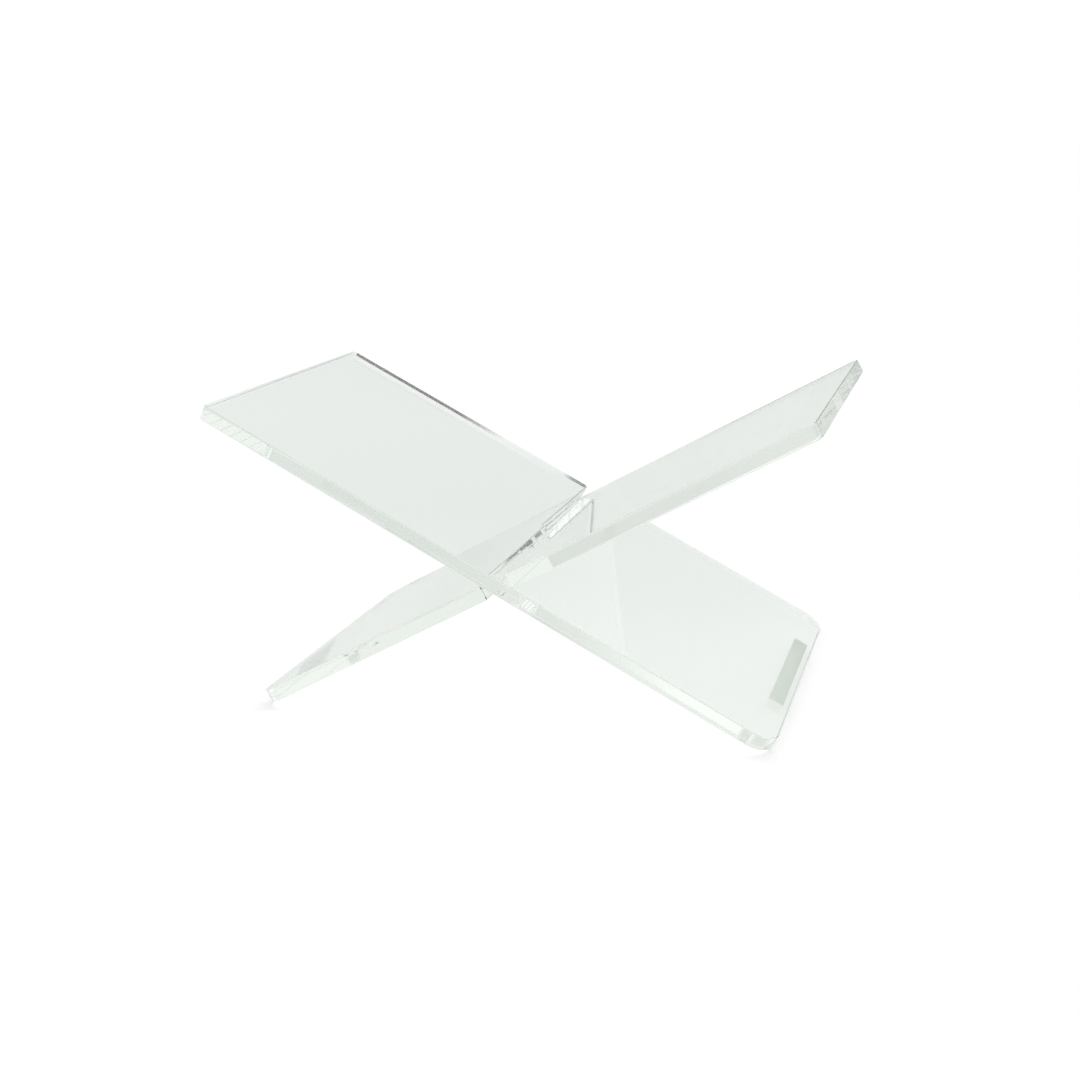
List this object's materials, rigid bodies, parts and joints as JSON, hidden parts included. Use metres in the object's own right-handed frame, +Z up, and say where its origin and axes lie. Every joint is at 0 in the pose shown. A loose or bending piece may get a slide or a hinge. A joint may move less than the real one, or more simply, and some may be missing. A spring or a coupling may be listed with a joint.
{
  "type": "book stand",
  "caption": "Clear acrylic tabletop book stand: crossed flat panels interlocked by half-depth slots, with a V on top that cradles an open book.",
  "frame": {"origin": "middle of the footprint, on the surface that the stand rests on, below the middle of the crossing", "axes": "+X to the right, from foot to foot; +Y from the front edges to the rear edges, along the crossing; +Z up"},
  "size_m": [0.4168, 0.24, 0.2158],
  "materials": {
    "clear_acrylic": "clear cast acrylic with polished faces and edges"
  },
  "bodies": {
    "left_panel": {"left_rest_panel": "clear_acrylic"},
    "right_panel": {"right_rest_panel": "clear_acrylic"}
  },
  "joints": [
    {"name": "slots_slide", "type": "slide", "parent": "left_panel", "child": "right_panel", "axis": [0, 1, 0], "range_m": [0, 0.25]}
  ]
}
